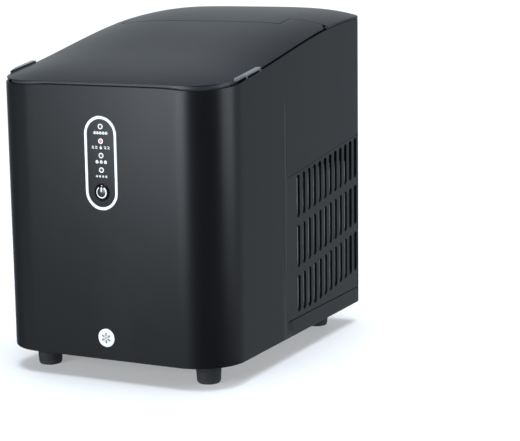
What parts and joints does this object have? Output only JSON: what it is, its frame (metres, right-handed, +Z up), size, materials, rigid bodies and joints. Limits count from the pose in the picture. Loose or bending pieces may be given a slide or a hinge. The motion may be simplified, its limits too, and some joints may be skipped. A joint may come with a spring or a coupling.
{
  "type": "ice maker",
  "caption": "Countertop bullet ice maker with a sloping hinged lid, pill-shaped control strip, side grilles, lift-out basket, tilting tray, fan and compressor.",
  "frame": {"origin": "on the floor, at the centre of the body's footprint", "axes": "+Z up, front with the control strip at -Y, +X to the right of a person who faces the front"},
  "size_m": [0.252, 0.312, 0.3263],
  "materials": {
    "shell_gloss": "satin-gloss black moulded ABS",
    "satin_black": "fine satin black moulding",
    "dark_plastic": "dark grey moulding",
    "white_print": "white printed or moulded trim",
    "tank_white": "off-white moulded liner",
    "clear_plastic": "clear smoky moulding",
    "steel": "zinc-plated steel",
    "evaporator_metal": "nickel-plated copper",
    "copper_tube": "drawn copper",
    "condenser_fins": "thin pressed fins",
    "painted_black": "black enamel on steel",
    "foot_rubber": "matte moulded rubber",
    "foam": "expanded foam",
    "circuit_board": "green solder mask"
  },
  "bodies": {
    "housing": {"badge": "white_print", "base_chassis": "painted_black", "compressor": "painted_black", "compressor_bracket": "steel", "condenser": "condenser_fins", "control_board": "circuit_board", "control_fascia": "shell_gloss", "control_ring": "white_print", "discharge_line": "copper_tube", "evaporator": "evaporator_metal", "fan_motor": "steel", "fan_shroud": "dark_plastic", "fan_stand": "steel", "filter_drier": "copper_tube", "foot_front_left": "foot_rubber", "foot_front_right": "foot_rubber", "foot_rear_left": "foot_rubber", "foot_rear_right": "foot_rubber", "hinge_pin_left": "steel", "hinge_pin_right": "steel", "hot_gas_valve": "copper_tube", "ice_full_sensor_left": "dark_plastic", "ice_full_sensor_right": "dark_plastic", "indicator_lens_1": "clear_plastic", "indicator_lens_2": "clear_plastic", "indicator_lens_3": "clear_plastic", "indicator_lens_4": "clear_plastic", "insulation_jacket": "foam", "liquid_line": "copper_tube", "main_board": "circuit_board", "outer_shell": "shell_gloss", "power_inlet": "dark_plastic", "rear_deck": "satin_black", "rear_panel": "satin_black", "rear_screw_1": "steel", "rear_screw_2": "steel", "rear_screw_3": "steel", "rear_screw_4": "steel", "side_grille_left": "satin_black", "side_grille_right": "satin_black", "suction_line": "copper_tube", "tact_switch": "dark_plastic", "top_frame": "satin_black", "tray_bearing": "white_print", "tray_gear_motor": "steel", "water_hose": "clear_plastic", "water_level_sensor": "dark_plastic", "water_pump": "dark_plastic", "water_tank": "tank_white"},
    "lid": {"lid_cover": "satin_black", "lid_liner": "dark_plastic"},
    "button": {"power_button": "shell_gloss"},
    "tray": {"water_tray": "clear_plastic", "tray_shaft": "steel"},
    "shovel": {"ice_shovel": "dark_plastic"},
    "basket": {"ice_basket": "clear_plastic"},
    "fan": {"fan_blades": "dark_plastic"},
    "drain_cap": {"drain_cap": "dark_plastic", "drain_seal": "foot_rubber"}
  },
  "joints": [
    {"name": "lid_hinge", "type": "hinge", "parent": "housing", "child": "lid", "pos_m": [0, 0.069, 0.30933], "axis": [-1, 0, 0], "range_deg": [0, 95]},
    {"name": "power_button_press", "type": "slide", "parent": "housing", "child": "button", "axis": [0, 1, 0], "range_m": [0, 0.001], "stiffness_N_per_m": 600},
    {"name": "tray_tilt", "type": "hinge", "parent": "housing", "child": "tray", "pos_m": [0, 0.02, 0.262], "axis": [1, 0, 0], "range_deg": [0, 70]},
    {"name": "shovel_swing", "type": "hinge", "parent": "housing", "child": "shovel", "pos_m": [0, 0.02, 0.262], "axis": [1, 0, 0], "range_deg": [0, 35]},
    {"name": "basket_lift", "type": "slide", "parent": "housing", "child": "basket", "axis": [0, 0, 1], "range_m": [0, 0.022]},
    {"name": "fan_spin", "type": "hinge", "parent": "housing", "child": "fan", "pos_m": [0.0838, 0.074, 0.106], "axis": [1, 0, 0], "continuous": true},
    {"name": "drain_cap_turn", "type": "hinge", "parent": "housing", "child": "drain_cap", "pos_m": [-0.06, -0.1, 0.012], "axis": [0, 0, 1], "range_deg": [0, 90]}
  ],
  "couplings": [
    {"joint": "shovel_swing", "follows": "tray_tilt", "ratio": 0.5}
  ]
}
